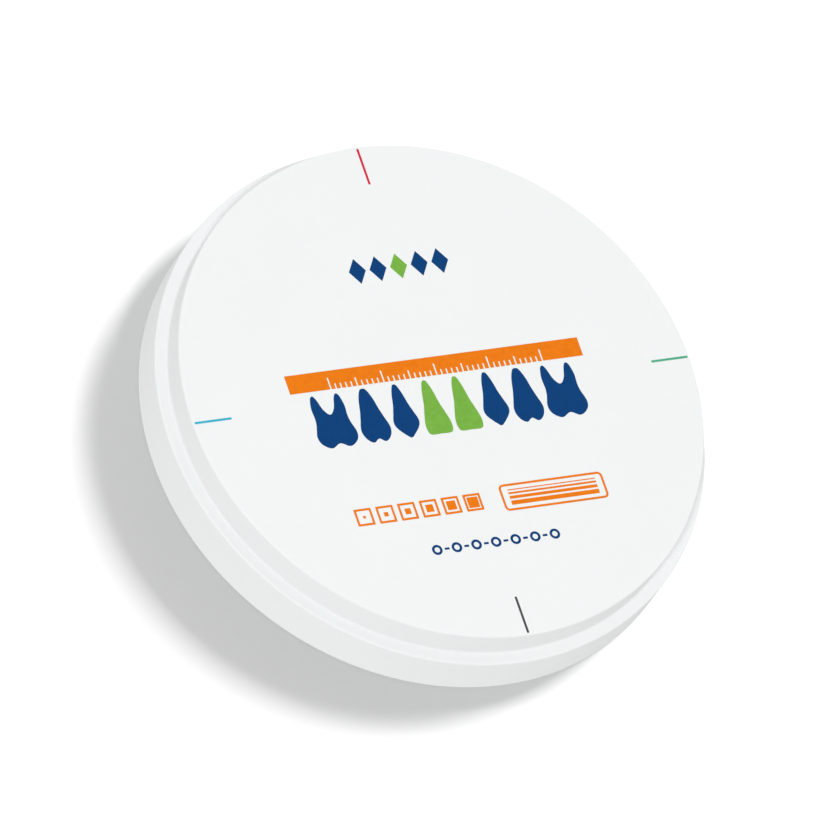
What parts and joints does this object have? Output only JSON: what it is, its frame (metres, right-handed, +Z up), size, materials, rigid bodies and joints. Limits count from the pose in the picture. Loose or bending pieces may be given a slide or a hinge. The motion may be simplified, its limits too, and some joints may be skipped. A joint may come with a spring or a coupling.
{
  "type": "dental milling disc",
  "caption": "Round pre-sintered ceramic blank with a stepped clamping rim and a printed face, from which crowns and bridges are milled.",
  "frame": {"origin": "centre of the flat underside", "axes": "+Z up through the printed face along the disc's axis, +X to the green register tick, +Y to the red one"},
  "size_m": [0.0984, 0.0984, 0.014],
  "materials": {
    "zirconia": "matte",
    "blue_ink": "satin",
    "green_ink": "satin",
    "orange_ink": "satin",
    "red_tick_ink": "satin",
    "green_tick_ink": "satin",
    "grey_tick_ink": "satin",
    "blue_tick_ink": "satin"
  },
  "bodies": {
    "root": {"milling_disc": "zirconia"}
  },
  "joints": []
}
